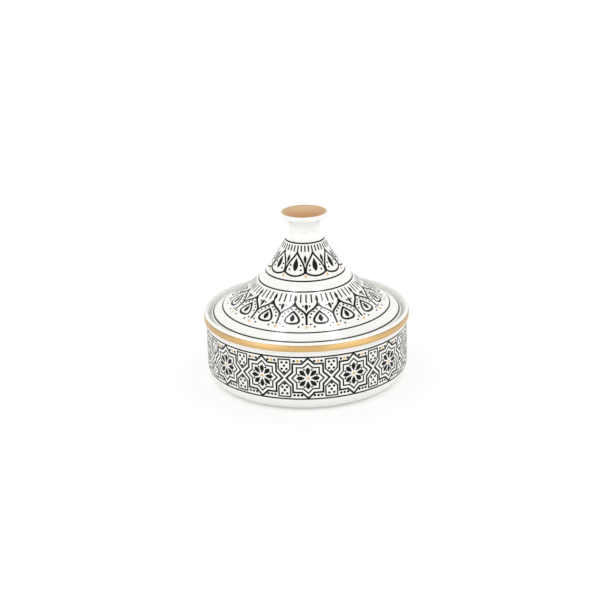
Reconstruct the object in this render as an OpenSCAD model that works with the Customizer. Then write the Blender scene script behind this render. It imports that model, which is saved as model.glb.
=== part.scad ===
// Tagine pot: a low round dish, a conical lid that sits in a gallery inside the dish's lip,
// and a flared cup knob on the lid. Millimetres, +Z up, origin on the table under the dish.

/* [Dish] */
// Overall diameter, over the gold on the lip
rim_d = 200; // [160:1:300]
// Height of the dish, from the table to the top of its lip
dish_h = 70.2; // [55:0.1:110]
// How far the lip stands out from the wall
lip_out = 2; // [0.6:0.1:4]
// Thickness of the lip, which has a half-round top
lip_t = 4.2; // [3:0.1:6]
// Height of the lip's upright outer face
lip_face_h = 6.2; // [3:0.1:10]
// Height of the flare between the wall and the lip
flare_h = 4; // [2:0.1:8]
// Thickness of the wall
wall_t = 5.2; // [3.5:0.1:8]
// Thickness of the base, between the recess under it and the floor
base_t = 5.5; // [3:0.1:10]
// Radius of the outer corner between the wall and the foot
corner_r = 15.5; // [8:0.5:20]
// Radius of the inner corner between the wall and the floor
hollow_r = 11; // [5:0.5:20]
// Width of the foot ring's standing face
foot_w = 4; // [2:0.1:10]
// Depth of the recess inside the foot ring
foot_h = 1.5; // [0.5:0.1:4]

/* [Gallery] */
// Depth of the lid's seat below the top of the lip
seat_drop = 6.6; // [5:0.1:10]
// Width of the seat, from the lip's inner face
seat_w = 9; // [7:0.1:12]
// Thickness of the ledge at its inner edge
seat_t = 4; // [2.5:0.1:8]

/* [Lid] */
// Gap between the lid's edge and the lip's inner face
lid_gap = 3.1; // [1:0.1:4]
// Height of the lid's edge above the seat
edge_h = 4; // [3:0.1:6]
// Rounding of the lid's edge
edge_r = 1.2; // [0.5:0.1:1.5]
// Width of the flat ring under the lid's edge
rest_w = 6; // [4:0.1:8]
// Thickness of the lid's wall
lid_t = 4.2; // [3:0.1:7]
// Diameter of the knee, where the low skirt turns into the steep cone
knee_d = 83.4; // [60:0.2:110]
// Height of the knee above the seat
knee_rise = 40.6; // [30:0.2:60]
// How far the skirt's profile sags below a straight line
skirt_sag = 1.9; // [0:0.1:5]
// Share of the skirt, from its edge, where the sag is deepest
skirt_low = 0.6; // [0.4:0.05:0.7]
// Height of the cone's top above the knee
cone_rise = 38.4; // [25:0.2:60]
// How far the cone's profile sags behind a straight line
cone_sag = 1.1; // [0:0.1:3]
// Thickness of the closed top under the knob
web_t = 4.5; // [3:0.1:10]

/* [Knob] */
// Diameter of the knob's foot, where it is luted to the lid
knob_foot_d = 35.2; // [32:0.2:44]
// Height of the knob
knob_h = 23.9; // [22:0.1:36]
// Diameter of the neck
neck_d = 31; // [26:0.2:32]
// Height of the neck's straight stretch above the knob's foot
neck_rise = 7.7; // [5:0.1:10]
// Length of the neck's straight stretch
neck_len = 2.2; // [1:0.1:3]
// Diameter of the knob's mouth over its lip
knob_d = 46.8; // [40:0.2:60]
// Thickness of the mouth's lip, which has a half-round top
mouth_t = 2.2; // [1.6:0.1:3.6]
// Height of the upright outer face of the mouth's lip
mouth_face_h = 2.4; // [1:0.1:4]
// Depth of the cup in the knob
cup_depth = 18.5; // [15:0.1:20]
// Thickness of the knob's wall at the neck
neck_t = 3.3; // [2:0.1:5]
// Rounding at the bottom of the cup
cup_r = 4; // [2:0.1:6]

/* [Painted and gilded decoration] */
// Thickness of the fired-on gold and of the black lines
coat_t = 0.2; // [0.15:0.01:0.4]
// Width of a black line
line_w = 1.5; // [0.8:0.1:2]
// Height of the line under the dish's frieze
frieze_low = 14.4; // [10:0.1:24]
// Depth of the line over the frieze below the top of the lip
frieze_drop = 14.2; // [13:0.1:20]
// Diameter of the line nearest the lid's edge
edge_line_d = 180.8; // [172:0.2:182]
// Diameter of the line under the lid's lower band
skirt_line_d = 162.6; // [140:0.2:170]
// Distance of the line over the lower band from the knee, along the radius
knee_line_out = 3.6; // [2:0.1:8]
// Distance of the line under the upper band from the knee, along the radius
knee_line_in = 3.4; // [2:0.1:8]
// Distance of the line round the neck from the knob's foot, along the radius
neck_line_out = 1.3; // [0.8:0.1:4]

/* [Hidden] */
$fn = 96;

porcelain = [0.95, 0.95, 0.92];
gold = [0.85, 0.68, 0.36];
black = [0.07, 0.07, 0.07];

// Straight pieces that stand for a curve
CURVE_STEPS = 10;
// Straight pieces in the half-round top of a lip
ROUND_STEPS = 8;
// Share of a line's length at its middle
MIDDLE = 0.5;

// Radii of the dish
lip_r = rim_d / 2 - coat_t;
lip_in = lip_r - lip_t;
wall_r = lip_r - lip_out;
wall_in = wall_r - wall_t;
foot_r = wall_r - corner_r;
seat_in = lip_in - seat_w;

// Heights of the dish
floor_z = foot_h + base_t;
face_top = dish_h - lip_t / 2;
face_low = face_top - lip_face_h;
flare_low = face_low - flare_h;
seat_z = dish_h - seat_drop;

// Corners of the lid's outer profile
lid_r = lip_in - lid_gap;
skirt_start = [lid_r - edge_r, seat_z + edge_h];
knee = [knee_d / 2, seat_z + knee_rise];
crown = [knob_foot_d / 2, knee.y + cone_rise];

// Corners of the lid's hollow: the outer corners moved in by the wall's thickness
skirt_out = outward(knee - skirt_start);
cone_out = outward(crown - knee);
knee_out = unit(skirt_out + cone_out);
hollow_start = [lid_r - rest_w, seat_z];
hollow_knee = knee - lid_t / (knee_out * cone_out) * knee_out;
hollow_crown = crown - lid_t * cone_out;
hollow_top = crown.y - web_t;
// The cone's hollow ends in a dome, this much lower at its sides than on the axis
dome_h = lid_t;
dome_share = (hollow_top - dome_h - hollow_knee.y) / (hollow_crown.y - hollow_knee.y);
dome_start = hollow_knee + dome_share * (hollow_crown - hollow_knee);

// Corners of the knob
neck_r = neck_d / 2;
neck_low = crown.y + neck_rise;
neck_high = neck_low + neck_len;
knob_top = crown.y + knob_h;
mouth_z = knob_top - mouth_t / 2;
mouth_r = knob_d / 2;
cup_neck_r = neck_r - neck_t;
cup_z = knob_top - cup_depth;
// Share of the knob's flare that rises straight before it opens
FLARE_HOLD = 0.43;
flare_top = mouth_z - mouth_face_h;
flare_hold_z = neck_high + FLARE_HOLD * (flare_top - neck_high);

function unit(v) = v / norm(v);

// Direction to the right of a path: out of a wall whose path runs upwards
function outward(v) = unit([v.y, -v.x]);

function reversed(path) = [for (i = [len(path) - 1 : -1 : 0]) path[i]];

// Points of a circle's arc, from one angle to another
function arc(centre, r, from, to, steps) =
    [for (i = [0 : steps]) let (a = from + (to - from) * i / steps) centre + r * [cos(a), sin(a)]];

// Points of a curve that leaves a for b and arrives at c from b
function bend(a, b, c) =
    [for (i = [0 : CURVE_STEPS]) let (t = i / CURVE_STEPS)
        (1 - t) * (1 - t) * a + 2 * t * (1 - t) * b + t * t * c];

// Points of a line that sags to the inner side, most at a share of its length
function sagging(a, c, sag, share) = bend(a, a + share * (c - a) - 2 * sag * outward(c - a), c);

// A path without the points that repeat the one before
function distinct(path) =
    [for (i = [0 : len(path) - 1]) if (i == 0 || norm(path[i] - path[max(i - 1, 0)]) > 0.001) path[i]];

// Outer profile of the dish's wall and lip, upwards from the foot
dish_side = distinct(concat(
    arc([foot_r, corner_r], corner_r, -90, 0, CURVE_STEPS),
    [for (i = [0 : CURVE_STEPS]) let (t = i / CURVE_STEPS)
        [wall_r + lip_out * t * t * (3 - 2 * t), flare_low + flare_h * t]],
    [[lip_r, face_top]]));

// Outer profile of the lid, upwards from the rounding of its edge to the knob's foot
lid_side = distinct(concat(
    bend([lid_r, skirt_start.y - edge_r], [lid_r, skirt_start.y - edge_r / 4], skirt_start),
    sagging(skirt_start, knee, skirt_sag, skirt_low),
    sagging(knee, crown, cone_sag, MIDDLE)));

// Profile of the knob's cup, downwards from its mouth to the axis
cup_side = distinct(concat(
    bend([mouth_r - mouth_t, mouth_z], [cup_neck_r, flare_hold_z], [cup_neck_r, cup_z + cup_r]),
    arc([cup_neck_r - cup_r, cup_z + cup_r], cup_r, 0, -90, ROUND_STEPS),
    [[0, cup_z]]));

// Where a side's profile is at a height, and at a radius
function at_height(path, z) = [lookup(z, [for (p = path) [p.y, p.x]]), z];
function at_radius(path, r) = [r, lookup(r, [for (p = path) p])];

// Stretch of an upward path between two heights
function stretch(path, low, high) = distinct(concat(
    [at_height(path, low)],
    [for (p = path) if (p.y > low && p.y < high) p],
    [at_height(path, high)]));

// Direction out of a path at one of its points
function out_at(path, i) = outward(path[min(i + 1, len(path) - 1)] - path[max(i - 1, 0)]);

// A coat of even thickness on the outer side of a path
module coat(path) {
    outside = [for (i = [0 : len(path) - 1]) path[i] + coat_t * out_at(path, i)];
    rotate_extrude() polygon(concat(path, reversed(outside)));
}

// A painted line round the dish, with its middle at a height
module dish_line(z) coat(stretch(dish_side, z - line_w / 2, z + line_w / 2));

// A painted line round the lid, with its middle at a radius
module lid_line(r) {
    middle = at_radius(lid_side, r);
    slope = unit(at_radius(lid_side, r - line_w / 2) - at_radius(lid_side, r + line_w / 2));
    coat(stretch(lid_side, middle.y - slope.y * line_w / 2, middle.y + slope.y * line_w / 2));
}

module dish() {
    lip_top = arc([lip_r - lip_t / 2, face_top], lip_t / 2, 0, 180, ROUND_STEPS);
    ledge_low = seat_z - seat_t;
    // The ledge's underside slopes back to the wall at 45 degrees
    ledge = [[lip_in, seat_z], [seat_in, seat_z], [seat_in, ledge_low],
             [wall_in, ledge_low - (wall_in - seat_in)]];
    inner_corner = arc([wall_in - hollow_r, floor_z + hollow_r], hollow_r, 0, -90, CURVE_STEPS);
    foot_in = foot_r - foot_w;
    base = [[0, floor_z], [0, foot_h], [foot_in - foot_h, foot_h], [foot_in, 0]];
    color(porcelain) rotate_extrude()
        polygon(distinct(concat(dish_side, lip_top, ledge, inner_corner, base)));
}

module lid() {
    edge_low = arc([lid_r - edge_r, seat_z + edge_r], edge_r, -90, 0, ROUND_STEPS);
    dome = bend(dome_start, [dome_start.x, hollow_top], [0, hollow_top]);
    hollow = concat(sagging(hollow_start, hollow_knee, skirt_sag, skirt_low),
                    sagging(hollow_knee, dome_start, cone_sag, MIDDLE), dome);
    color(porcelain) rotate_extrude()
        polygon(distinct(concat(edge_low, lid_side, [[0, crown.y]], reversed(hollow))));
}

module knob() {
    neck = concat(bend(crown, [neck_r, (crown.y + neck_low) / 2], [neck_r, neck_low]),
                  bend([neck_r, neck_high], [neck_r, flare_hold_z], [mouth_r, flare_top]));
    lip_top = arc([mouth_r - mouth_t / 2, mouth_z], mouth_t / 2, 0, 180, ROUND_STEPS);
    color(porcelain) rotate_extrude()
        polygon(distinct(concat([[0, crown.y]], neck, lip_top, cup_side)));
}

module rim_gilding() {
    color(gold) coat(stretch(dish_side, face_low, face_top));
}

module knob_gilding() {
    color(gold) coat(cup_side);
}

module dish_lines() {
    color(black) {
        dish_line(frieze_low);
        dish_line(dish_h - frieze_drop);
    }
}

module lid_lines() {
    color(black)
        for (r = [edge_line_d / 2, skirt_line_d / 2, knee.x + knee_line_out,
                  knee.x - knee_line_in, crown.x + neck_line_out])
            lid_line(r);
}

dish();
lid();
knob();
rim_gilding();
knob_gilding();
dish_lines();
lid_lines();
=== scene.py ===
# %% [markdown]
# # A painted tagine pot
#
# A tagine is a round dish with a cone for a lid: steam rises, cools on the cone and runs back onto the
# food. This one is white glazed ceramic, with gold on its lip and in its knob and fine black ornament
# fired onto it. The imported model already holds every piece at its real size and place. It is loaded
# first and stays as it is, and the lesson builds finer pieces over it, in the same metres and the same
# frame.

# %% Load the frame
import math
from bisect import bisect_right

import bpy
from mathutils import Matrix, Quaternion, Vector, noise


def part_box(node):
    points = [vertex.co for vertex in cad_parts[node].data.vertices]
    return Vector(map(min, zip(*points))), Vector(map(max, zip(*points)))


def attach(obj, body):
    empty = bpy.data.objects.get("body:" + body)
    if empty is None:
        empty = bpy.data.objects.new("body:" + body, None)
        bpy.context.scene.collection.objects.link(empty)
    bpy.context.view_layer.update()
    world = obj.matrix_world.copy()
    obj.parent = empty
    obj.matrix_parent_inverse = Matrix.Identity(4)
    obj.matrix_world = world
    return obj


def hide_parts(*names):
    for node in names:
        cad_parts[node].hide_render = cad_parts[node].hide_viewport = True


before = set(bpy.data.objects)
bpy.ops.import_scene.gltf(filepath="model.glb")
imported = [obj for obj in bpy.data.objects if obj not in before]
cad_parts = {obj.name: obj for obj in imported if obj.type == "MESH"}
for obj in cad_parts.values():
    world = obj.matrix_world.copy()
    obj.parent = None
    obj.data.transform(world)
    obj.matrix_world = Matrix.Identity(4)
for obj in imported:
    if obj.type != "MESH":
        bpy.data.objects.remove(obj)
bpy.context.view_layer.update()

# %% [markdown]
# ## Measuring the model
#
# A box round each part of the model gives most of the sizes that the looks need: how wide the lip is,
# how high the seat of the lid lies, where the gold band starts and stops. Reading them from the model,
# and not typing them again, keeps the looks on the pot if the pot is ever made larger.

# %% Read the sizes
MM = 0.001
dish_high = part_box("dish")[1]
lid_low, lid_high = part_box("lid")
knob_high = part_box("knob")[1]
band_low, band_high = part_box("rim_gilding")
lining_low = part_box("knob_gilding")[0]
frieze_low, frieze_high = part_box("dish_lines")

lip_r = dish_high.x
dish_h = dish_high.z
seat_z = lid_low.z
lid_r = lid_high.x
crown_z = lid_high.z
mouth_r = knob_high.x
knob_top = knob_high.z
print("lip %.1f mm across, pot %.1f mm high" % (2 * lip_r / MM, knob_top / MM))

# %% [markdown]
# ## The camera
#
# The picture of the pot is a square of 612 pixels, taken from a little above with a long lens. A long
# lens keeps the ellipses of the rings flat and alike. The pot leans a touch in that picture, so the
# camera is rolled by the same angle. It is set with a direction, a distance and an aim, because those
# three can be measured from the ring lines one at a time.

# %% Set the camera
PICTURE_PX = 612
FOCAL_PX = 1435.1
AIM_PX = Vector((306.26, 305.80))
SENSOR_MM = 36.0
camera_rise = math.radians(20.47)
camera_roll = math.radians(-1.40)
camera_reach = 1.4
aim = Vector((0, 0, 0.07))

lens = bpy.data.cameras.new("camera")
lens.sensor_width = SENSOR_MM
lens.lens = FOCAL_PX / PICTURE_PX * SENSOR_MM
lens.shift_x = (PICTURE_PX / 2 - AIM_PX.x) / PICTURE_PX
lens.shift_y = (AIM_PX.y - PICTURE_PX / 2) / PICTURE_PX
camera = bpy.data.objects.new("camera", lens)
bpy.context.scene.collection.objects.link(camera)
back = Vector((0, -math.cos(camera_rise), math.sin(camera_rise)))
camera.location = aim + camera_reach * back
level = (-back).to_track_quat("-Z", "Y")
camera.rotation_euler = (level @ Quaternion((0, 0, 1), camera_roll)).to_euler()
bpy.context.scene.camera = camera
print("lens %.1f mm, %.2f m from the pot" % (lens.lens, camera_reach))

# %% [markdown]
# ## Curves of a potter's template
#
# Dish, lid and knob are round, so each is one outline turned about the middle, as a potter's template
# would shape it on the wheel. An outline needs only three kinds of stretch: an arc for a rounded
# corner, a bend for a flare, and a long stretch that sags a little below the straight line between its
# ends. Glaze leaves no corner sharp, so what is left of corners is softened at the end. A Bevel
# modifier could do that to the mesh; on the outline it costs a few points only.

# %% Outline helpers
SHARP_EDGE = math.radians(30)
LONGEST_CUT = 0.45
SOFT_STEPS = 5
ROUNDING = 1e-6


def arc(middle, radius, start, end, steps=12):
    """Points of an arc; start and end are angles in degrees."""
    turns = [math.radians(start + (end - start) * i / steps) for i in range(steps + 1)]
    return [(middle[0] + radius * math.cos(t), middle[1] + radius * math.sin(t)) for t in turns]


def bend(a, b, c, steps=16):
    """Points of a curve that leaves a towards b and comes from b into c."""
    shares = [i / steps for i in range(steps + 1)]
    return [
        tuple((1 - t) ** 2 * p + 2 * t * (1 - t) * q + t * t * r for p, q, r in zip(a, b, c))
        for t in shares
    ]


def outward(a, c):
    """The unit vector to the right of the way from a to c: out of the pot, where that way climbs."""
    way = (Vector(c) - Vector(a)).normalized()
    return Vector((way.y, -way.x))


def sagging(a, c, sag, share, steps=28):
    """A stretch from a to c that hangs sag below the straight line, deepest near a share of the way."""
    turn = Vector(a).lerp(Vector(c), share) - 2 * sag * outward(a, c)
    return bend(a, turn, c, steps)


def softened(outline, reach):
    """The outline with each sharp corner cut back by a reach, less on a short stretch, and bent round."""
    points = [outline[0]]
    for before, corner, after in zip(outline, outline[1:], outline[2:]):
        to, fro = Vector(before) - Vector(corner), Vector(after) - Vector(corner)
        if to.length and fro.length and to.angle(fro) < math.pi - SHARP_EDGE:
            start = Vector(corner) + min(reach / to.length, LONGEST_CUT) * to
            end = Vector(corner) + min(reach / fro.length, LONGEST_CUT) * fro
            points += bend(start, corner, end, SOFT_STEPS)
        else:
            points.append(corner)
    return points + outline[-1:]


def evened(outline, longest):
    """The outline without repeated points, and with points added where a stretch is over the longest."""
    points = [tuple(outline[0])]
    for start, end in zip(outline, outline[1:]):
        pieces = math.ceil(math.dist(start, end) / longest - ROUNDING)
        points += [tuple(Vector(start).lerp(Vector(end), (i + 1) / pieces)) for i in range(pieces)]
    return points


# %% [markdown]
# ## Turning an outline
#
# A Screw or Spin modifier could turn an outline, but the ceramic also needs an even map for its finish
# and marks for where the glaze is thick or missing. So the rings of points are written out here: one
# turn of the wheel is cut into 256 steps, which is fine enough for clean highlights, and each face is
# given its place on a map with the turn along one side and the length of the outline along the other.

# %% The potter's wheel
WHEEL_STEPS = 256
LONGEST_STRETCH = 2 * MM


def wheel_point(radius, height, turn):
    """A point on the pot: a turn of 0 faces the camera, and turns go round to the right."""
    return Vector((radius * math.sin(turn), -radius * math.cos(turn), height))


def add_piece(name, corners, faces, places):
    """An object from corners, faces and each face corner's place on the map, smooth but for sharp edges."""
    mesh = bpy.data.meshes.new(name)
    mesh.from_pydata(corners, [], faces)
    mesh.polygons.foreach_set("use_smooth", [True] * len(mesh.polygons))
    layer = mesh.uv_layers.new(name="OFBake")
    layer.uv.foreach_set("vector", [number for place in places for number in place])
    mesh.set_sharp_from_angle(angle=SHARP_EDGE)
    piece = bpy.data.objects.new(name, mesh)
    bpy.context.scene.collection.objects.link(piece)
    return piece


def turned(name, outline):
    """The outline turned about the middle. It runs from axis to axis, or is a closed loop off the axis."""
    on_axis = outline[0][0] == 0
    loop = outline if on_axis else outline + outline[:1]
    lengths = [0.0]
    for start, end in zip(loop, loop[1:]):
        lengths.append(lengths[-1] + math.dist(start, end))
    corners, rings = [], []
    for radius, height in outline:
        steps = 1 if radius == 0 else WHEEL_STEPS
        rings.append(range(len(corners), len(corners) + steps))
        corners += [wheel_point(radius, height, 2 * math.pi * i / steps) for i in range(steps)]
    if not on_axis:
        rings.append(rings[0])
    faces, places = [], []
    for row, (low, high) in enumerate(zip(rings, rings[1:])):
        below, above = lengths[row] / lengths[-1], lengths[row + 1] / lengths[-1]
        for i in range(WHEEL_STEPS):
            j = (i + 1) % WHEEL_STEPS
            left, right = i / WHEEL_STEPS, (i + 1) / WHEEL_STEPS
            if len(low) == 1:
                faces.append((low[0], high[j], high[i]))
                places += [(left, below), (right, above), (left, above)]
            elif len(high) == 1:
                faces.append((low[i], low[j], high[0]))
                places += [(left, below), (right, below), (left, above)]
            else:
                faces.append((low[i], low[j], high[j], high[i]))
                places += [(left, below), (right, below), (right, above), (left, above)]
    return add_piece(name, corners, faces, places)


# %% [markdown]
# ## The dish
#
# The dish is cast in one piece: a foot ring, a rounded corner, an upright wall that flares a little
# into a thick lip, and inside the lip a ledge, the gallery, that the lid sits in. The lip slopes down
# to that ledge, so a lid put on askew slides to the middle. The outline starts under the floor at the
# axis, runs out over the foot and up the wall, and comes back down inside to the axis.

# %% Turn the dish
lip_t = 4.2 * MM
lip_out = 2.0 * MM
flare_h = 4.0 * MM
shoulder_h = 5.0 * MM
crest_in = 2.6 * MM
gallery_draft = 2.0 * MM
gilt_over = 0.2 * MM
wall_t = 5.2 * MM
corner_r = 15.5 * MM
hollow_r = 11 * MM
base_t = 5.5 * MM
foot_w = 4 * MM
foot_h = 1.5 * MM
seat_w = 9 * MM
seat_t = 4 * MM
SOFT_EDGE = 1.6 * MM
FLARE_STEPS = 10

wall_r = lip_r - lip_out
wall_in = wall_r - wall_t
foot_r = wall_r - corner_r
foot_in = foot_r - foot_w
floor_z = foot_h + base_t
face_low, face_top = band_low.z, band_high.z
lip_in = lip_r - lip_t
seat_in = lip_in - seat_w
ledge_z = seat_z - seat_t
shoulder = (lip_r, face_top - shoulder_h)
crest = (lip_r - crest_in, dish_h)
gallery_corner = (lip_in - gallery_draft, seat_z)
gilt_top = face_top + gilt_over


def lip_flare(share):
    """The eased step from the wall out to the face of the lip."""
    return wall_r + lip_out * share * share * (3 - 2 * share), face_low - flare_h * (1 - share)


underside = [(0, foot_h), (foot_in - foot_h, foot_h), (foot_in, 0)]
dish_side = arc((foot_r, corner_r), corner_r, -90, 0, steps=24)
dish_side += [lip_flare(i / FLARE_STEPS) for i in range(FLARE_STEPS + 1)] + [shoulder]
lip_outer = bend(shoulder, (lip_r, dish_h), crest, steps=24)
lip_inner = bend(crest, (lip_in, dish_h), gallery_corner, steps=24)
gallery = [(seat_in, seat_z), (seat_in, ledge_z), (wall_in, ledge_z - (wall_in - seat_in))]
dish_hollow = arc((wall_in - hollow_r, floor_z + hollow_r), hollow_r, 0, -90, steps=16) + [(0, floor_z)]

dish_outline = underside + dish_side + lip_outer + lip_inner + gallery + dish_hollow
dish = turned("dish_body", evened(softened(dish_outline, SOFT_EDGE), LONGEST_STRETCH))
print("dish: %d faces" % len(dish.data.polygons))

# %% [markdown]
# ## The lid
#
# The lid is a hollow cone on a low skirt, with a knee between them. Both stretches sag slightly, as
# clay does between two stiffer places, and that is what gives the lid its tent-like line. Its edge
# stands in the gallery with a little room to spare all round. Outside and inside use the same two
# sagging stretches.

# %% Turn the lid
edge_h = 4 * MM
edge_r = 1.2 * MM
rest_w = 6 * MM
lid_t = 4.2 * MM
web_t = 4.5 * MM
knee_rise = 40.6 * MM
knee_r = 41.7 * MM
crown_r = 17.6 * MM
skirt_bow = (1.9 * MM, 0.6)
cone_bow = (1.1 * MM, 0.5)

skirt_start = (lid_r - edge_r, seat_z + edge_h)
knee = (knee_r, seat_z + knee_rise)
crown = (crown_r, crown_z)
cone_out = outward(knee, crown)
knee_out = (outward(skirt_start, knee) + cone_out).normalized()
hollow_start = (lid_r - rest_w, seat_z)
hollow_knee = Vector(knee) - lid_t / knee_out.dot(cone_out) * knee_out
hollow_crown = Vector(crown) - lid_t * cone_out
hollow_top = crown_z - web_t
dome_share = (hollow_top - lid_t - hollow_knee.y) / (hollow_crown.y - hollow_knee.y)
dome_start = hollow_knee.lerp(hollow_crown, dome_share)

lid_edge = arc((lid_r - edge_r, seat_z + edge_r), edge_r, -90, 0, steps=8)
edge_top = skirt_start[1] - edge_r
lid_side = bend((lid_r, edge_top), (lid_r, skirt_start[1] - edge_r / 4), skirt_start, steps=8)
lid_side += sagging(skirt_start, knee, *skirt_bow)[1:] + sagging(knee, crown, *cone_bow)[1:]
lid_hollow = sagging(hollow_start, hollow_knee, *skirt_bow) + sagging(hollow_knee, dome_start, *cone_bow)
lid_hollow += bend(dome_start, (dome_start.x, hollow_top), (0, hollow_top))

lid_outline = lid_hollow[::-1] + lid_edge + lid_side + [(0, crown_z)]
lid = turned("lid_body", evened(lid_outline, LONGEST_STRETCH))
print("lid: %d faces, knee at %.1f mm" % (len(lid.data.polygons), knee[1] / MM))

# %% [markdown]
# ## The knob
#
# The knob is a small flared cup, thrown by itself and stuck to the closed top of the cone with slip.
# Fingers close under the flare. It is a piece of its own, so the seam to the lid runs where the real
# one would.

# %% Turn the knob
neck_r = 15.5 * MM
neck_rise = 7.7 * MM
neck_len = 2.2 * MM
mouth_t = 2.2 * MM
mouth_face_h = 2.4 * MM
neck_t = 3.3 * MM
cup_r = 4 * MM
FLARE_HOLD = 0.43
GILT_STEPS = 4

neck_low = crown_z + neck_rise
neck_high = neck_low + neck_len
mouth_z = knob_top - mouth_t / 2
knob_flare_top = mouth_z - mouth_face_h
flare_hold_z = neck_high + FLARE_HOLD * (knob_flare_top - neck_high)
cup_neck_r = neck_r - neck_t
cup_z = lining_low.z

neck = bend(crown, (neck_r, (crown_z + neck_low) / 2), (neck_r, neck_low))
neck += bend((neck_r, neck_high), (neck_r, flare_hold_z), (mouth_r, knob_flare_top), steps=24)
mouth = arc((mouth_r - mouth_t / 2, mouth_z), mouth_t / 2, 0, 180)
cup = bend((mouth_r - mouth_t, mouth_z), (cup_neck_r, flare_hold_z), (cup_neck_r, cup_z + cup_r), steps=24)
cup += arc((cup_neck_r - cup_r, cup_z + cup_r), cup_r, 0, -90, steps=10)[1:] + [(0, cup_z)]

knob = turned("knob_body", evened([(0, crown_z)] + neck + mouth + cup, LONGEST_STRETCH))
print("knob: %d faces, cup %.1f mm deep" % (len(knob.data.polygons), (knob_top - cup_z) / MM))

# %% [markdown]
# ## Marking bare clay, pooling glaze and painted shade
#
# Glaze would stick to the kiln shelf, so the foot ring and the ring under the lid's edge are wiped
# bare: dull, slightly sandy clay. Glaze also runs while it melts. It draws thin over a lip and gathers
# in a corner, where it looks a little greyer and greener. The same greyer green is also painted shade:
# it darkens the gallery corner and the hollows inside the dish, lid and knob, where light reaches less.
# A finish can't know this, so each point of the mesh carries the two amounts, worked out from its place
# on the outline.

# %% Mark the ceramic
def near(place, spot, reach):
    """1 at the spot, fading to 0 at that reach."""
    return max(0.0, 1 - math.dist(place, spot) / reach) ** 2


def mark(piece, name, amount):
    """Stores amount(radius, height) at each point of the piece under that name."""
    values = [amount((math.hypot(v.co.x, v.co.y), v.co.z)) for v in piece.data.vertices]
    piece.data.attributes.new(name, "FLOAT", "POINT").data.foreach_set("value", values)
    return sum(value > 0 for value in values)


WIPE = 0.4 * MM
POOL_AND_SHADE_REACH = 9 * MM
hollow_corner = (wall_in - hollow_r / 3, floor_z + hollow_r / 3)
cup_corner = (cup_neck_r - cup_r / 3, cup_z + cup_r / 3)

bare_points = mark(dish, "bare", lambda p: float(p[1] < WIPE and foot_in - WIPE < p[0] < foot_r + WIPE))
bare_points += mark(lid, "bare", lambda p: float(p[1] < seat_z + WIPE))
bare_points += mark(knob, "bare", lambda p: 0.0)
# Pooling glaze and painted shade: the gallery corner and the inner hollows are greened and darkened a
# little.
mark(dish, "pool_and_painted_shade", lambda p: max(near(p, gallery_corner, POOL_AND_SHADE_REACH) / 2, near(p, hollow_corner, 2 * POOL_AND_SHADE_REACH)))
mark(lid, "pool_and_painted_shade", lambda p: near(p, hollow_knee, POOL_AND_SHADE_REACH))
mark(knob, "pool_and_painted_shade", lambda p: near(p, cup_corner, POOL_AND_SHADE_REACH))
print("%d points of bare clay" % bare_points)

# %% [markdown]
# ## Nodes in few words
#
# A finish is a small graph of nodes. It could be built by hand in the Shader Editor; written out,
# every node takes several lines. One helper that makes a node, fills its sockets and hands back an
# output keeps each finish down to what matters: which noise drives which colour. Noise mostly keeps
# between 0.3 and 0.7, so that is the range to spread.

# %% Node helpers
NOISE = (0.3, 0.7)


def new_finish(name):
    """A material with an output and a Principled shader; returns it, its tree and the shader."""
    finish = bpy.data.materials.new(name)
    finish.use_nodes = True
    return finish, finish.node_tree, finish.node_tree.nodes["Principled BSDF"]


def fill(tree, node, sockets):
    """Sets sockets by name or number: from a node's output where one is given, or else to a value."""
    for key, value in sockets.items():
        if isinstance(value, bpy.types.NodeSocket):
            tree.links.new(value, node.inputs[key])
        else:
            node.inputs[key].default_value = value


def add(tree, kind, sockets=None, output=0, **settings):
    """A new shader node of that kind; returns one of its outputs."""
    node = tree.nodes.new("ShaderNode" + kind)
    for key, value in settings.items():
        setattr(node, key, value)
    fill(tree, node, sockets or {})
    return node.outputs[output]


def spread(tree, value, low, high, out_low=0.0, out_high=1.0):
    """The value moved from the range low to high into another range, and held inside it."""
    return add(tree, "MapRange", {0: value, 1: low, 2: high, 3: out_low, 4: out_high})


def speckle(tree, place, scale, detail=2.0):
    """Smooth noise of about one grain per 1/scale metre."""
    return add(tree, "TexNoise", {"Vector": place, "Scale": scale, "Detail": detail})


def blended(tree, share, first, second):
    """Two colours mixed by a share."""
    return add(tree, "Mix", {0: share, 6: first, 7: second}, output=2, data_type="RGBA")


print("helpers for finishes are ready")

# %% [markdown]
# ## The glaze
#
# Under the glaze is a warm white clay, and the glaze itself is clear glass: the shader's own gloss on
# a pale colour gives just that, with no second layer. What makes it look fired and not plastic is
# small: the white drifts a little from place to place, the surface has a faint ripple that bends
# highlights, a few pinpricks of iron show, and the glaze greens where it pools. That greyer green in the
# corners is also painted shade. On the wiped rings the colour turns to clay and the gloss goes.

# %% Porcelain
CLAY_WHITE = (0.905, 0.902, 0.870, 1)
GLAZE_WHITE = (0.930, 0.930, 0.905, 1)
# Greyer green of glaze that pools, which also serves as painted shade in corners and hollows.
POOLED_GLAZE_AND_SHADE = (0.880, 0.885, 0.800, 1)
BARE_CLAY = (0.800, 0.745, 0.655, 1)
IRON_SPECK = (0.420, 0.350, 0.270, 1)
IRON_SHARE = 0.93
SPECK_EDGE, SPECK_HEART, SPECK_DEPTH = 0.10, 0.05, 0.35
SPECKS_PER_M = 150
WHITE_PER_M, WHITE_NOISE = 22, (0.35, 0.65)
SAND_PER_M = 900
GLOSS_PER_M, GLAZE_ROUGH, CLAY_ROUGH = 60, (0.07, 0.13), 0.75
RIPPLE_PER_M, RIPPLE, RIPPLE_DEPTH = 140, 0.05, 0.4 * MM
GLAZE_SHINE = 0.3

porcelain, tree, shader = new_finish("porcelain")
place = add(tree, "TexCoord", output="Object")
pooling_and_shade = add(tree, "Attribute", output="Fac", attribute_name="pool_and_painted_shade")
wiped = add(tree, "Attribute", output="Fac", attribute_name="bare")

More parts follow.
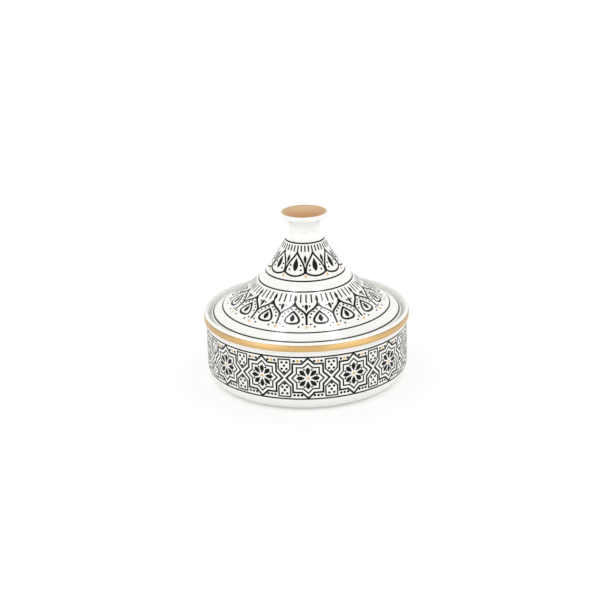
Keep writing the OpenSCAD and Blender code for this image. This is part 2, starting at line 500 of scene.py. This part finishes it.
drift = spread(tree, speckle(tree, place, WHITE_PER_M), *WHITE_NOISE)
white = blended(tree, drift, CLAY_WHITE, GLAZE_WHITE)
pinprick = add(tree, "TexVoronoi", {"Vector": place, "Scale": SPECKS_PER_M}, output="Distance")
rare = add(tree, "Math", {0: pinprick.node.outputs["Color"], 1: IRON_SHARE}, operation="GREATER_THAN")
speck = spread(tree, pinprick, SPECK_EDGE, SPECK_HEART, 0, SPECK_DEPTH)
iron = add(tree, "Math", {0: rare, 1: speck}, operation="MULTIPLY")
glaze = blended(tree, pooling_and_shade, blended(tree, iron, white, IRON_SPECK), POOLED_GLAZE_AND_SHADE)
sand = blended(tree, spread(tree, speckle(tree, place, SAND_PER_M), *NOISE), BARE_CLAY, CLAY_WHITE)
colour = blended(tree, wiped, glaze, sand)

gloss = spread(tree, speckle(tree, place, GLOSS_PER_M), *NOISE, *GLAZE_ROUGH)
rough = add(tree, "Mix", {0: wiped, 2: gloss, 3: CLAY_ROUGH})
waves = speckle(tree, place, RIPPLE_PER_M, detail=3)
ripple = add(tree, "Bump", {"Strength": RIPPLE, "Distance": RIPPLE_DEPTH, "Height": waves})
fill(tree, shader, {"Base Color": colour, "Roughness": rough, "Normal": ripple})
fill(tree, shader, {"Specular IOR Level": GLAZE_SHINE})


def finished(piece, finish, body, slot, *nodes):
    """Gives a piece its finish, the body that it rides on and the nodes that it stands for; slot is not
    used.
    """
    piece.data.materials.append(finish)
    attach(piece, body)
    if nodes:
        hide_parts(*nodes)
    print(piece.name, "rides on", body, "with", len(piece.data.polygons), "faces")


finished(dish, porcelain, "dish", "porcelain", "dish")
finished(lid, porcelain, "lid", "porcelain", "lid")
finished(knob, porcelain, "lid", "porcelain", "knob")

# %% [markdown]
# ## Three golds
#
# Gold on ceramic is a film of metal in oil, brushed on while the pot turns and fired once more at a
# low heat. Polished on the lip it is a satin metal under a thin skin of flux, which whitens it where
# one looks along it. In the cup it is left as it comes from the kiln: a dull tan gold with little
# shine. The small dots are dabbed on thick, and so are dull as well but yellower. One function makes
# all three. The brush leaves streaks along the turn, so one noise is squeezed flat: long round the pot
# and short up it.

# %% Gold finishes
BRUSH_SCALE = (9, 9, 700)
BRUSH_DRAG, BRUSH_DEPTH = 0.12, 0.1 * MM
CLOUDS_PER_M, CLOUD_SHARE = 30, 0.35
GOLD_NOISE = (0.36, 0.64)
PALE_GOLD = (0.630, 0.420, 0.170, 1)
DEEP_GOLD = (0.510, 0.330, 0.125, 1)
# Painted shade: the darker gold along the band's upper edge.
SHADED_EDGE_GOLD = (0.330, 0.210, 0.085, 1)
PALE_TAN = (0.645, 0.470, 0.285, 1)
DEEP_TAN = (0.585, 0.415, 0.240, 1)
# Painted shade: the darker, more saturated tan low in the cup.
SHADED_DEPTH_TAN = (0.570, 0.330, 0.140, 1)
PALE_DAB = (0.740, 0.500, 0.200, 1)
DEEP_DAB = (0.660, 0.430, 0.150, 1)
FLUX_COAT = 0.6
FLUX_ROUGH = 0.35


def gold_finish(name, colours, metal, roughness):
    """Brushed gold in three colours (pale, deep, and a painted-shade colour), with a metal share and a
    range of roughness.
    """
    pale, deep, shaded = colours
    finish, tree, shader = new_finish(name)
    place = add(tree, "TexCoord", output="Object")
    strokes = add(tree, "Mapping", {"Vector": place, "Scale": BRUSH_SCALE})
    streaks = speckle(tree, strokes, 1.0, detail=3)
    cover = add(tree, "Mix", {0: CLOUD_SHARE, 2: streaks, 3: speckle(tree, place, CLOUDS_PER_M)})
    drag = add(tree, "Bump", {"Strength": BRUSH_DRAG, "Distance": BRUSH_DEPTH, "Height": streaks})
    # The third colour is painted shade, blended in by the pool and shade mark.
    pooling_and_shade = add(tree, "Attribute", output="Fac", attribute_name="pool_and_painted_shade")
    colour = blended(tree, spread(tree, cover, *GOLD_NOISE), deep, pale)
    colour = blended(tree, pooling_and_shade, colour, shaded)
    rough = spread(tree, streaks, *NOISE, *roughness)
    fill(tree, shader, {"Base Color": colour, "Roughness": rough, "Normal": drag, "Metallic": metal})
    fill(tree, shader, {"Coat Weight": FLUX_COAT * metal, "Coat Roughness": FLUX_ROUGH})
    print(name, "has", len(tree.nodes), "nodes")
    return finish


lip_colours = (PALE_GOLD, DEEP_GOLD, SHADED_EDGE_GOLD)
cup_colours = (PALE_TAN, DEEP_TAN, SHADED_DEPTH_TAN)
dot_colours = (PALE_DAB, DEEP_DAB, DEEP_DAB)
polished_gold = gold_finish("polished_gold", lip_colours, metal=1.0, roughness=(0.40, 0.50))
kiln_gold = gold_finish("kiln_gold", cup_colours, metal=0.1, roughness=(0.60, 0.72))
dabbed_gold = gold_finish("dabbed_gold", dot_colours, metal=0.1, roughness=(0.50, 0.62))

# %% [markdown]
# ## Gold on the lip and in the knob
#
# The film is thinner than paper. A new material on some faces of the ceramic would do, but then its
# edge could only follow the mesh. So each film is a thin closed piece that starts just under the glaze
# and ends just over it, made by pushing a stretch of the outline in and out. The band's edges then
# waver a little, as a brush does. The band's colour is darkened towards its upper edge as painted
# shade, and the lining's colour is darkened and deepened towards the bottom of the cup as painted shade.

# %% Band and lining
FILM_UNDER = 0.05 * MM
EDGE_SHARE = 0.3
GOLD_T = band_high.x - lip_r
BAND_WAVER = 0.12 * MM
SHADED_EDGE_REACH = 2 * MM
WAVER_PER_M = 40


def film(points, thickness):
    """The outline of a film on a stretch of an outline: back under the surface, then forth over it."""
    under, over = [], []
    for i, point in enumerate(points):
        way = outward(points[max(i - 1, 0)], points[min(i + 1, len(points) - 1)])
        at_edge = i in (0, len(points) - 1) and point[0] > 0
        under.append(tuple(Vector(point) - FILM_UNDER * way))
        over.append(tuple(Vector(point) + thickness * (EDGE_SHARE if at_edge else 1) * way))
    return under[::-1] + over


lip_side = [(lip_r, face_low)] + [p for p in lip_outer if p[1] < gilt_top]
band = turned("gold_band", film(evened(lip_side, LONGEST_STRETCH / 2), GOLD_T))
# Painted shade: the band darkens over the upper two millimetres of its edge.
mark(band, "pool_and_painted_shade", lambda p: max(0.0, 1 - abs(gilt_top - p[1]) / SHADED_EDGE_REACH))
band_mid, band_half = (face_low + gilt_top) / 2, (gilt_top - face_low) / 2
for corner in band.data.vertices:
    towards_edge = (corner.co.z - band_mid) / band_half
    around = Vector((corner.co.x, corner.co.y, towards_edge)) * WAVER_PER_M
    corner.co.z += BAND_WAVER * towards_edge * noise.noise(around)
finished(band, polished_gold, "dish", "gilding", "rim_gilding")

lining = turned("gold_lining", film(mouth[-GILT_STEPS:] + cup[1:], GOLD_T))
# Painted shade: the lining darkens and grows more saturated towards the bottom of the cup.
mark(lining, "pool_and_painted_shade", lambda p: min(1.0, (knob_top - p[1]) / POOL_AND_SHADE_REACH))
finished(lining, kiln_gold, "lid", "gilding", "knob_gilding")

# %% [markdown]
# ## Places on the glaze
#
# The ornament lies on curved glaze, so it is drawn with two numbers: the turn round the pot and the
# length up the side of it. A small class knows one side's outline and gives the point, the radius and
# the direction out of the glaze at any length. Widths stay true in millimetres, however narrow the
# cone becomes.

# %% Sides to draw on
RADIUS, HEIGHT = 0, 1


class Side:
    """The outer side of a ceramic piece, to draw on by turn and by length up the side."""

    def __init__(self, outline):
        self.points = [Vector(p) for p in evened(outline, LONGEST_STRETCH / 2)]
        self.lengths = [0.0]
        for start, end in zip(self.points, self.points[1:]):
            self.lengths.append(self.lengths[-1] + (end - start).length)

    def spot(self, length):
        """The point (radius, height) at a length, and the direction out of the glaze there."""
        i = min(max(bisect_right(self.lengths, length) - 1, 0), len(self.points) - 2)
        start, end = self.points[i], self.points[i + 1]
        share = (length - self.lengths[i]) / (self.lengths[i + 1] - self.lengths[i])
        return start.lerp(end, share), outward(start, end)

    def place(self, turn, length, lift):
        """The point in space at a turn and a length, that far out of the glaze."""
        point, out = self.spot(length)
        point = point + lift * out
        return wheel_point(point.x, point.y, turn)

    def length_at(self, axis, value):
        """The length at which the side first comes to a radius or a height."""
        for i, (start, end) in enumerate(zip(self.points, self.points[1:])):
            share = (value - start[axis]) / (end[axis] - start[axis] or 1)
            if 0 <= share <= 1 and start[axis] != end[axis]:
                return self.lengths[i] + share * (end - start).length


wall_side = Side(dish_side)
cone_side = Side(lid_side)
for name, side in (("wall", wall_side), ("lid", cone_side)):
    print("%.0f mm of %s to draw on" % (side.lengths[-1] / MM, name))

# %% [markdown]
# ## Enamel marks
#
# The black is a print of enamel under a last clear firing, so a mark has an edge but hardly any
# thickness. Each mark is made as a thin strip with five corners at every station: two just below the
# glaze, and two edges and a middle just above it. The mesh stays closed, and the middle lets a wide
# mark follow the curve of the cone. A line, a dot and a leaf are all such strips, with other widths.
# The hand that drew the pattern wavers by a tenth of a millimetre or so, and smooth noise gives that
# waver.

# %% Strips, lines, dots and leaves
ENAMEL_T = 0.07 * MM
HAND_WAVER = 0.16 * MM
WAVER_SCALE = 60
SHARPEST_MITRE = 0.45
LEAF_TIP = 0.02
LEAF_FULLNESS = 0.9
CAP_ANGLES = [math.radians(a) for a in (30, 58, 80)]
STRIP_CORNERS = ((1, -FILM_UNDER), (-1, -FILM_UNDER), (-1, ENAMEL_T), (0, ENAMEL_T), (1, ENAMEL_T))


class Print:
    """Marks on one side of the pot, gathered into one piece. A mark's points are given within a motif."""

    def __init__(self, side):
        self.side = side
        self.corners, self.faces, self.places = [], [], []

    def move(self, turn, foot, step):
        """Sets the motif drawn next: its turn, its foot, and the turn that an x of 1 stands for."""
        self.turn, self.foot, self.step = turn, foot, step

    def spot(self, point):
        """The turn and the length of a point of the motif."""
        return self.turn + point[0] * self.step, self.foot + point[1]

    def way(self, start, end):
        """The direction from one station to the next, as it lies on the glaze."""
        radius = self.side.spot(start[1])[0].x
        return Vector((radius * (end[0] - start[0]), end[1] - start[1])).normalized()

    def strip(self, stations, closed=False):
        """A strip through stations of (turn, length, half width), with mitred corners."""
        first, count = len(self.corners), len(stations)
        for i, (turn, length, half) in enumerate(stations):
            radius = self.side.spot(length)[0].x
            ways = []
            if i or closed:
                ways.append(self.way(stations[i - 1], stations[i]))
            if i + 1 < count or closed:
                ways.append(self.way(stations[i], stations[(i + 1) % count]))
            along = sum(ways, Vector((0, 0))).normalized()
            across = Vector((-along.y / radius, along.x)) * half / max(along.dot(ways[0]), SHARPEST_MITRE)
            waver = noise.noise_vector(self.side.place(turn, length, 0) * WAVER_SCALE) * HAND_WAVER
            middle = Vector((turn + waver.x / radius, length + waver.y))
            for sign, lift in STRIP_CORNERS:
                corner = middle + sign * across
                self.corners.append(self.side.place(*corner, lift))
                self.places.append((corner.x / (2 * math.pi) % 1, corner.y / self.side.lengths[-1]))
        sides = len(STRIP_CORNERS)
        rows = [range(first + sides * i, first + sides * (i + 1)) for i in range(count)]
        for a, b in zip(rows, rows[1:] + rows[:1] if closed else rows[1:]):
            for k in range(sides):
                m = (k + 1) % sides
                self.faces.append((a[m], a[k], b[k], b[m]))
        if not closed:
            self.faces += [tuple(rows[0]), tuple(reversed(rows[-1]))]

    def cap(self, station, way, sign):
        """Stations that round off the end of a line."""
        turn, length, half = station
        radius = self.side.spot(length)[0].x
        ends = []
        for angle in CAP_ANGLES[::sign]:
            reach = sign * half * math.sin(angle)
            ends.append((turn + reach * way.x / radius, length + reach * way.y, half * math.cos(angle)))
        return ends

    def line(self, points, width, closed=False):
        """A line of even width through points, round at its ends unless it is closed."""
        stations = [(*self.spot(point), width / 2) for point in points]
        if not closed:
            start = self.cap(stations[0], self.way(*stations[:2]), -1)
            end = self.cap(stations[-1], self.way(*stations[-2:]), 1)
            stations = start + stations + end
        self.strip(stations, closed)

    def dot(self, point, size):
        """A round dot."""
        station, way = (*self.spot(point), size / 2), Vector((1, 0))
        self.strip(self.cap(station, way, -1) + [station] + self.cap(station, way, 1))

    def leaf(self, start, end, width, fullest=0.5, steps=9):
        """A solid leaf from start to end, widest at the share fullest of its length."""
        power = math.log(0.5) / math.log(fullest)
        stations = []
        for i in range(steps + 1):
            share = LEAF_TIP + (1 - 2 * LEAF_TIP) * i / steps
            half = width / 2 * math.sin(math.pi * share ** power) ** LEAF_FULLNESS
            stations.append((*self.spot(Vector(start).lerp(Vector(end), share)), half))
        self.strip(stations)

    def piece(self, name):
        """The gathered marks as one object."""
        places = [self.places[corner] for face in self.faces for corner in face]
        return add_piece(name, self.corners, self.faces, places)


print("a strip has %d corners at each station" % len(STRIP_CORNERS))

# %% [markdown]
# ## Black enamel
#
# Fired black is never one flat value: where the print lies thin it is a warm charcoal, and where it
# lies thick it is nearly black. The clear coat on top gives it the same shine as the glaze around it,
# a little weaker because the print has a tooth.

# %% Enamel finish
INK_THICK = (0.003, 0.003, 0.003, 1)
INK_THIN = (0.009, 0.009, 0.008, 1)
INK_PER_M, INK_NOISE = 260, (0.35, 0.7)
INK_ROUGH, INK_SHINE = (0.10, 0.18), 0.17

enamel, tree, shader = new_finish("black_enamel")
density = speckle(tree, add(tree, "TexCoord", output="Object"), INK_PER_M, detail=3)
ink = blended(tree, spread(tree, density, *INK_NOISE), INK_THICK, INK_THIN)
tooth = spread(tree, density, *NOISE, *INK_ROUGH)
fill(tree, shader, {"Base Color": ink, "Roughness": tooth, "Specular IOR Level": INK_SHINE})
print("black enamel has", len(tree.nodes), "nodes")

# %% [markdown]
# ## Ring lines
#
# The plain rings are drawn with a loaded brush held still while the pot turns, so they are perfectly
# even. Each ring is a film on a short stretch of the side, turned about the middle, and the rings of
# the dish and those of the lid are each joined into one piece, as the model has them.

# %% Turn the ring lines
LINE_W = 1.5 * MM
RING_POINTS = 5
edge_line_r = 90.4 * MM
skirt_line_r = 81.3 * MM
knee_line_out = 3.6 * MM
knee_line_in = 3.4 * MM
neck_line_out = 1.3 * MM


def ring(side, length):
    """A ring line whose middle lies at that length up the side."""
    steps = [length + LINE_W * (i / (RING_POINTS - 1) - 0.5) for i in range(RING_POINTS)]
    return turned("ring", film([tuple(side.spot(step)[0]) for step in steps], ENAMEL_T))


def joined(name, pieces):
    """Several pieces made into one."""
    with bpy.context.temp_override(active_object=pieces[0], selected_editable_objects=pieces):
        bpy.ops.object.join()
    pieces[0].name = pieces[0].data.name = name
    return pieces[0]


frieze_foot = wall_side.length_at(HEIGHT, frieze_low.z + LINE_W / 2)
frieze_head = wall_side.length_at(HEIGHT, frieze_high.z - LINE_W / 2)
lid_radii = [edge_line_r, skirt_line_r]
lid_radii += [knee_r + knee_line_out, knee_r - knee_line_in, crown_r + neck_line_out]
lid_lengths = [cone_side.length_at(RADIUS, radius) for radius in lid_radii]
skirt_foot, skirt_head, cone_foot, cone_head = lid_lengths[1:]

dish_rings = joined("dish_rings", [ring(wall_side, length) for length in (frieze_foot, frieze_head)])
lid_rings = joined("lid_rings", [ring(cone_side, length) for length in lid_lengths])
finished(dish_rings, enamel, "dish", "black_enamel", "dish_lines")
finished(lid_rings, enamel, "lid", "black_enamel", "lid_lines")

# %% [markdown]
# ## The frieze of stars
#
# Round the wall runs a row of eight-pointed stars, each two squares laid crosswise: an old figure of
# the tile makers. A star fills the frieze from line to line, with a second star inside it and a flower
# of eight leaves round a gold dot. One motif is drawn in its own small frame and then moved round the
# pot, so the row closes without a seam.

# %% Draw the stars
STARS = 14
STAR_POINTS = 8
STAR_NOTCH = math.cos(math.pi / 4) / math.cos(math.pi / 8)
BOLD = 1.8 * MM
FINE = 1.35 * MM
DOT_D = 2.5 * MM
SMALL_DOT_D = 2.0 * MM
GOLD_DOT_D = 2.9 * MM
star_turn = 2 * math.pi / STARS
star_pitch = star_turn * wall_r
star_tip = (frieze_head - frieze_foot - LINE_W) / 2
inner_tip = star_tip - 5.2 * MM
leaf_from, leaf_to, leaf_w = 2.4 * MM, 11.0 * MM, 4.3 * MM
between_leaves = 9.2 * MM
wing_y = 0.852 * star_tip
wing_xs = [share * star_tip for share in (0.30, 0.47, 0.64)]
frieze_mid = (frieze_foot + frieze_head) / 2

frieze = Print(wall_side)
frieze_gold = Print(wall_side)


def spoke(reach, eighths):
    """A point at a reach from the motif's middle, at so many eighths of a turn from the top."""
    return reach * math.sin(math.pi / 4 * eighths), reach * math.cos(math.pi / 4 * eighths)


def outline_in(marks, corners, width):
    """A closed line through corners."""
    marks.line(evened(corners + corners[:1], LONGEST_STRETCH)[:-1], width, closed=True)


def star(tip):
    """The corners of an eight-pointed star, tips and notches in turn."""
    return [spoke(tip * (STAR_NOTCH if i % 2 else 1), i / 2) for i in range(2 * STAR_POINTS)]


for i in range(STARS):
    for marks in (frieze, frieze_gold):
        marks.move(i * star_turn, frieze_mid, 1 / wall_r)
    outline_in(frieze, star(star_tip), BOLD)
    outline_in(frieze, star(inner_tip), FINE)
    for k in range(STAR_POINTS):
        frieze.leaf(spoke(leaf_from, k), spoke(leaf_to, k), leaf_w, fullest=0.6)
        frieze.dot(spoke(between_leaves, k + 0.5), SMALL_DOT_D)
    frieze_gold.dot((0, 0), GOLD_DOT_D)
    for side in (-1, 1):
        near_x, mid_x, far_x = [side * x for x in wing_xs]
        frieze_gold.dot((mid_x, wing_y), GOLD_DOT_D)
        for x in (near_x, far_x):
            frieze.dot((x, wing_y), DOT_D)
        for x in (near_x, mid_x, far_x):
            frieze.dot((x, -wing_y), DOT_D)
print("stars %.1f mm across, %.1f mm apart" % (2 * star_tip / MM, star_pitch / MM))

# %% [markdown]
# Between two stars hang and stand small shields filled with dots, as the mosaic of a fountain fills
# the gap between two large tiles. The shield's size is what the stars leave free, so it follows if
# their number does.

# %% Draw the shields between the stars
SHIELD_ROWS = (2, 1, 2, 1)
shield_gap = 2.2 * MM
shield_half = star_pitch / 2 - spoke(star_tip, 1)[0] - shield_gap
shield_top = star_tip - 1.6 * MM
shield_point = 3.2 * MM
shield_shoulder = shield_point + shield_half
dot_step = 4.6 * MM
row_step = 3.2 * MM
first_row = shield_top - 3.0 * MM

for i in range(STARS):
    frieze.move((i + 0.5) * star_turn, frieze_mid, 1 / wall_r)
    for up in (1, -1):
        shield = [(0, shield_point), (shield_half, shield_shoulder), (shield_half, shield_top)]
        shield += [(-shield_half, shield_top), (-shield_half, shield_shoulder)]
        outline_in(frieze, [(x, up * y) for x, y in shield], FINE)
        for row, dots in enumerate(SHIELD_ROWS):
            for k in range(dots):
                frieze.dot(((k - (dots - 1) / 2) * dot_step, up * (first_row - row * row_step)), DOT_D)
finished(frieze.piece("dish_stars"), enamel, "dish", "black_enamel")
finished(frieze_gold.piece("dish_gold_dots"), dabbed_gold, "dish", "gilding")

# %% [markdown]
# ## The arcade on the skirt
#
# Round the skirt stands an arcade of keel arches, the pointed arch of old town gates. Each has a row
# of beads inside it, an almond with a dark kernel on the ground, and short rays over it up to the ring
# line. Across this band an x of 1 is one whole arch, so the arches narrow by themselves as the lid
# does.

# %% Draw the arcade
ARCHES = 16
BEAD_STEPS = 4
arch_turn = 2 * math.pi / ARCHES
arch_foot = skirt_foot + 9.5 * MM
arch_h, arch_spring = 24 * MM, 8 * MM
arch_line = 2.1 * MM
bead_half, bead_spring, bead_h = 0.37, 8 * MM, 20.4 * MM
almond_half, almond_low, almond_top = 0.29, 0.6 * MM, 14.2 * MM
kernel_low, kernel_top, kernel_w = 2.8 * MM, 11.2 * MM, 4.4 * MM
bud_low, bud_top, bud_w = 14 * MM, 22.5 * MM, 3.4 * MM
flame_w = 3.0 * MM
ground_y, side_y = -3.0 * MM, 20.3 * MM
arch_gold_y = -3.6 * MM
KEEL_TURN, KEEL_WAIST = 0.5, 0.2
ALMOND_BELLY, ALMOND_SIDE, ALMOND_RISE = 1.4, 0.8, 0.6
ray_low, ray_high = arch_h + 0.5 * MM, skirt_head - 3.2 * MM - arch_foot
ray_xs = (-0.25, 0.25, 0.5)
arch_dots = ((0.36, side_y), (0.64, side_y), (-0.25, ground_y), (0.25, ground_y))

skirt = Print(cone_side)
lid_gold = Print(cone_side)


def cubic(a, b, c, d, steps=14):
    """Points of a curve from a to d that leaves towards b and arrives from c."""
    points = []
    for i in range(steps + 1):
        t = i / steps
        weights = ((1 - t) ** 3, 3 * t * (1 - t) ** 2, 3 * t * t * (1 - t), t ** 3)
        points.append(tuple(sum(w * p[k] for w, p in zip(weights, (a, b, c, d))) for k in range(2)))
    return points


def mirrored(left):
    """A line drawn up to its top on the left, and back down on the right."""
    return left + [(-x, y) for x, y in left[-2::-1]]


def keel_arch(half, spring, top, steps=14):
    """An arch from foot to foot: upright posts, then two curves that meet in a point."""
    turn = spring + KEEL_TURN * (top - spring)
    curve = cubic((-half, spring), (-half, turn), (-KEEL_WAIST * half, turn), (0, top), steps)
    return mirrored([(-half, 0)] + curve)


def almond(half, low, top):
    """A closed outline, round at its foot and pointed at its top."""
    belly = (-ALMOND_BELLY * half, low)
    side = (-ALMOND_SIDE * half, low + ALMOND_RISE * (top - low))
    return mirrored(cubic((0, low), belly, side, (0, top)))[:-1]


for i in range(ARCHES):
    for marks in (skirt, lid_gold):
        marks.move((i + 0.5) * arch_turn, arch_foot, arch_turn)
    skirt.line(keel_arch(0.5, arch_spring, arch_h), arch_line)
    for bead in keel_arch(bead_half, bead_spring, bead_h, BEAD_STEPS):
        skirt.dot(bead, SMALL_DOT_D)
    skirt.line(almond(almond_half, almond_low, almond_top), arch_line, closed=True)
    skirt.leaf((0, kernel_low), (0, kernel_top), kernel_w, fullest=0.42)
    skirt.leaf((0.5, bud_low), (0.5, bud_top), bud_w, fullest=0.65)
    skirt.leaf((0, ray_low), (0, ray_high), flame_w, fullest=0.4)
    for x in ray_xs:
        skirt.line([(x, ray_low), (x, ray_high)], FINE)
    for spot in arch_dots:
        skirt.dot(spot, SMALL_DOT_D)
    lid_gold.dot((0.5, arch_gold_y), GOLD_DOT_D)
finished(skirt.piece("skirt_arcade"), enamel, "lid", "black_enamel")

# %% [markdown]
# ## The petals on the cone
#
# Up the cone climb tall petals, like the leaves of an artichoke, over a row of hanging swags. They use
# the same marks as the arcade, on a narrower band.

# %% Draw the petals
PETALS = 10
petal_turn = 2 * math.pi / PETALS
petal_foot = cone_foot + 8 * MM
petal_h, petal_half = 20 * MM, 0.46
swag_drop = 6 * MM
heart_low, heart_top, heart_w = 1.6 * MM, petal_h - 5.4 * MM, 5.0 * MM
gap_low, gap_top, gap_w = 8 * MM, 17.5 * MM, 2.8 * MM
petal_gold_y = -3.4 * MM
cone_ray_low, cone_ray_high = petal_h + 1.2 * MM, cone_head - 2.6 * MM - petal_foot
cone_ray_xs = (-0.25, 0, 0.25, 0.5)
petal_dots = ((-0.28, 3.0 * MM), (0.28, 3.0 * MM), (-0.27, 7.4 * MM), (0.27, 7.4 * MM))
PETAL_BELLY, PETAL_SIDE = (1.12, 0.5), (0.4, 0.7)

petals = Print(cone_side)


def petal(half, top):
    """A tall pointed petal, from its left foot over its tip to its right foot."""
    belly, side = [(-x * half, y * top) for x, y in (PETAL_BELLY, PETAL_SIDE)]
    return mirrored(cubic((-half, 0), belly, side, (0, top)))


for i in range(PETALS):
    for marks in (petals, lid_gold):
        marks.move((i + 0.5) * petal_turn, petal_foot, petal_turn)
    petals.line(petal(petal_half, petal_h), BOLD)
    petals.line(bend((-petal_half, 0), (0, -swag_drop), (petal_half, 0)), BOLD)
    petals.leaf((0, heart_low), (0, heart_top), heart_w, fullest=0.42)
    petals.leaf((0.5, gap_low), (0.5, gap_top), gap_w, fullest=0.6)
    for x in cone_ray_xs:
        petals.line([(x, cone_ray_low), (x, cone_ray_high)], FINE)
    for spot in petal_dots:
        petals.dot(spot, SMALL_DOT_D)
    lid_gold.dot((0.5, petal_gold_y), GOLD_DOT_D)
finished(petals.piece("cone_petals"), enamel, "lid", "black_enamel")
finished(lid_gold.piece("lid_gold_dots"), dabbed_gold, "lid", "gilding")

# %% [markdown]
# ## Floor and sky
#
# The pot stands in a white studio. The sky lights it softly from all round, about twice as strongly
# from the horizon as from above, and is plain white where the camera or a reflection looks at it. The
# floor is pale and keeps the shadow of the pot; a little glow, seen only by the camera and in
# reflections, lifts the open floor to white.

# %% Sky and floor
SKY_HORIZON = 1.57
SKY_ZENITH = 0.74
FLOOR_WHITE = (0.88, 0.88, 0.88, 1)
FLOOR_GLOW = 0.20
FLOOR_SIZE = 30.0
FLOOR_ROUGH = (0.85, 0.95)
GRAIN_PER_M = 3
PURE_WHITE = (1, 1, 1, 1)


def seen_directly(tree):
    """1 for rays from the camera, in a reflection or through glass, and 0 for rays that light things."""
    path = tree.nodes.new("ShaderNodeLightPath").outputs
    seen = add(tree, "Math", {0: path["Is Camera Ray"], 1: path["Is Glossy Ray"]}, operation="MAXIMUM")
    return add(tree, "Math", {0: seen, 1: path["Is Transmission Ray"]}, operation="MAXIMUM")


sky = bpy.data.worlds.new("studio")
bpy.context.scene.world = sky
sky.use_nodes = True
tree = sky.node_tree
rise = add(tree, "SeparateXYZ", {0: add(tree, "TexCoord", output="Generated")}, output="Z")
lighting = spread(tree, rise, 0, 1, SKY_HORIZON, SKY_ZENITH)
strength = add(tree, "Mix", {0: seen_directly(tree), 2: lighting, 3: 1.0})
fill(tree, tree.nodes["Background"], {"Color": PURE_WHITE, "Strength": strength})

floor_finish, tree, shader = new_finish("studio_floor")
grain = speckle(tree, add(tree, "TexCoord", output="Object"), GRAIN_PER_M)
glow = spread(tree, seen_directly(tree), 0, 1, 0, FLOOR_GLOW)
fill(tree, shader, {"Base Color": FLOOR_WHITE, "Roughness": spread(tree, grain, 0, 1, *FLOOR_ROUGH)})
fill(tree, shader, {"Specular IOR Level": 0.0, "Emission Color": PURE_WHITE, "Emission Strength": glow})
half = FLOOR_SIZE / 2
floor_mesh = bpy.data.meshes.new("floor")
floor_corners = [(-half, -half, 0), (half, -half, 0), (half, half, 0), (-half, half, 0)]
floor_mesh.from_pydata(floor_corners, [], [(0, 1, 2, 3)])
floor_mesh.materials.append(floor_finish)
floor = bpy.data.objects.new("floor", floor_mesh)
bpy.context.scene.collection.objects.link(floor)
print("floor of %.0f m" % FLOOR_SIZE)

# %% [markdown]
# ## Lamps
#
# Two long softboxes hang overhead to the left and right. Their reflections are the two pale streaks
# down the skirt, where the black print turns grey. Two more stand low at the left and right, and give
# the satin gold its two bright places. The sky alone lights the pot, evenly from all sides: the lamps
# show only where something reflects them, so they don't bleach the lid.

# %% Lamps
STRIP_RISE = 1.2
STRIP_SIZE = (0.18, 0.51)
STRIP_OUT = 0.37
STRIP_Y = -0.145
STRIP_RADIANCE = 18.0
SIDE_TURN = math.radians(47)
SIDE_RISE = 0.36
SIDE_REACH = 1.5
SIDE_SIZE = (1.3, 0.7)
SIDE_RADIANCE = 3.3


def softbox(name, place, target, size, radiance):
    """A soft rectangular lamp that faces a target; its power follows from its size and its brightness."""
    lamp = bpy.data.lights.new(name, "AREA")
    lamp.shape, lamp.size, lamp.size_y = "RECTANGLE", *size
    lamp.energy = radiance * math.pi * size[0] * size[1]
    box = bpy.data.objects.new(name, lamp)
    bpy.context.scene.collection.objects.link(box)
    box.location = place
    box.rotation_euler = (target - place).to_track_quat("-Z", "Y").to_euler()
    box.visible_camera = box.visible_diffuse = False


for side in (-1, 1):
    over = Vector((side * STRIP_OUT, STRIP_Y, STRIP_RISE))
    softbox("strip", over, over - Vector((0, 0, 1)), STRIP_SIZE, STRIP_RADIANCE)
    stand = wheel_point(SIDE_REACH, SIDE_RISE, side * SIDE_TURN)
    softbox("side", stand, Vector((0, 0, seat_z)), SIDE_SIZE, SIDE_RADIANCE)

bpy.context.scene.view_settings.view_transform = "Standard"
